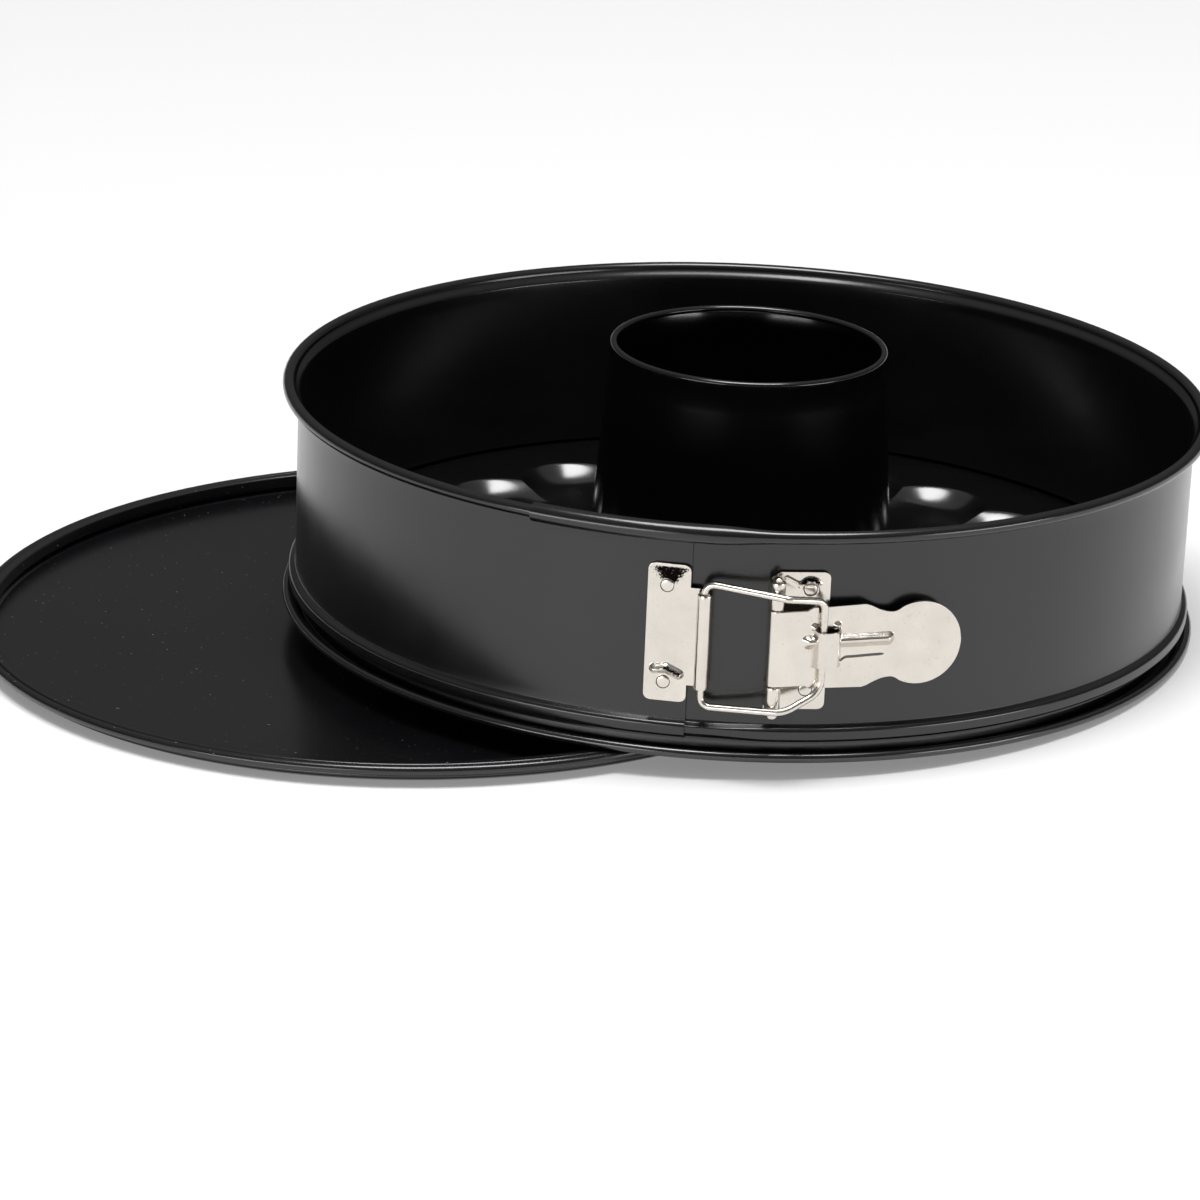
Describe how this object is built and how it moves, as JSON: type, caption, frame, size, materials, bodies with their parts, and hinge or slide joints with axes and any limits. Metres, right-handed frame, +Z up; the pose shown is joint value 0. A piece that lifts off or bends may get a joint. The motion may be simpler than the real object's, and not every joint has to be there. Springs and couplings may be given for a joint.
{
  "type": "springform tube pan",
  "caption": "Round springform pan with a fluted tube base, over-centre wire clasp and a spare flat base that it leans on.",
  "frame": {"origin": "middle of the spare flat base's underside, on the surface that it lies on", "axes": "+X from the flat base's centre towards the pan's centre, +Z up, -Y the front with the clasp"},
  "size_m": [0.3889, 0.2953, 0.0919],
  "materials": {
    "band_coating": "satin non-stick coating, charcoal",
    "tube_base_coating": "glossy non-stick coating, black",
    "tube_coating": "semi-gloss non-stick coating, black",
    "flat_base_coating": "satin non-stick coating, near black",
    "clasp_nickel": "bright nickel plate",
    "bail_wire": "bright nickel-plated wire",
    "rivet_nickel": "nickel-plated rivet steel"
  },
  "bodies": {
    "flat_base": {"flat_base": "flat_base_coating"},
    "tube_base": {"tube_base_plate": "tube_base_coating", "tube": "tube_coating"},
    "ring": {"ring_band": "band_coating", "bracket": "clasp_nickel", "bracket_rivet_upper": "rivet_nickel", "bracket_rivet_lower": "rivet_nickel", "hinge_pin": "rivet_nickel"},
    "catch": {"catch_plate": "clasp_nickel", "catch_rivet_upper": "rivet_nickel", "catch_rivet_lower": "rivet_nickel"},
    "lever": {"lever": "clasp_nickel"},
    "bail": {"bail": "bail_wire"}
  },
  "joints": [
    {"name": "pan_lift", "type": "slide", "parent": "flat_base", "child": "tube_base", "axis": [0, 0, 1], "range_m": [0, 0.1]},
    {"name": "ring_lift", "type": "slide", "parent": "tube_base", "child": "ring", "axis": [0.036, 0, 0.9994], "range_m": [0, 0.1]},
    {"name": "lever_swing", "type": "hinge", "parent": "ring", "child": "lever", "pos_m": [0.0955, -0.14544, 0.04186], "axis": [-0.036, 0, -0.9994], "range_deg": [0, 165]},
    {"name": "bail_pivot", "type": "hinge", "parent": "lever", "child": "bail", "pos_m": [0.10922, -0.14634, 0.04137], "axis": [0.036, 0, 0.9994], "range_deg": [0, 150.51]},
    {"name": "catch_open", "type": "hinge", "parent": "ring", "child": "catch", "pos_m": [0.09932, 0, 0.04172], "axis": [-0.036, 0, -0.9994], "range_deg": [0, 10.3], "deforming": ["ring_band"]}
  ],
  "couplings": [
    {"joint": "bail_pivot", "follows": "lever_swing", "ratio": 0.91215},
    {"joint": "catch_open", "follows": "lever_swing", "ratio": 0.062403}
  ]
}
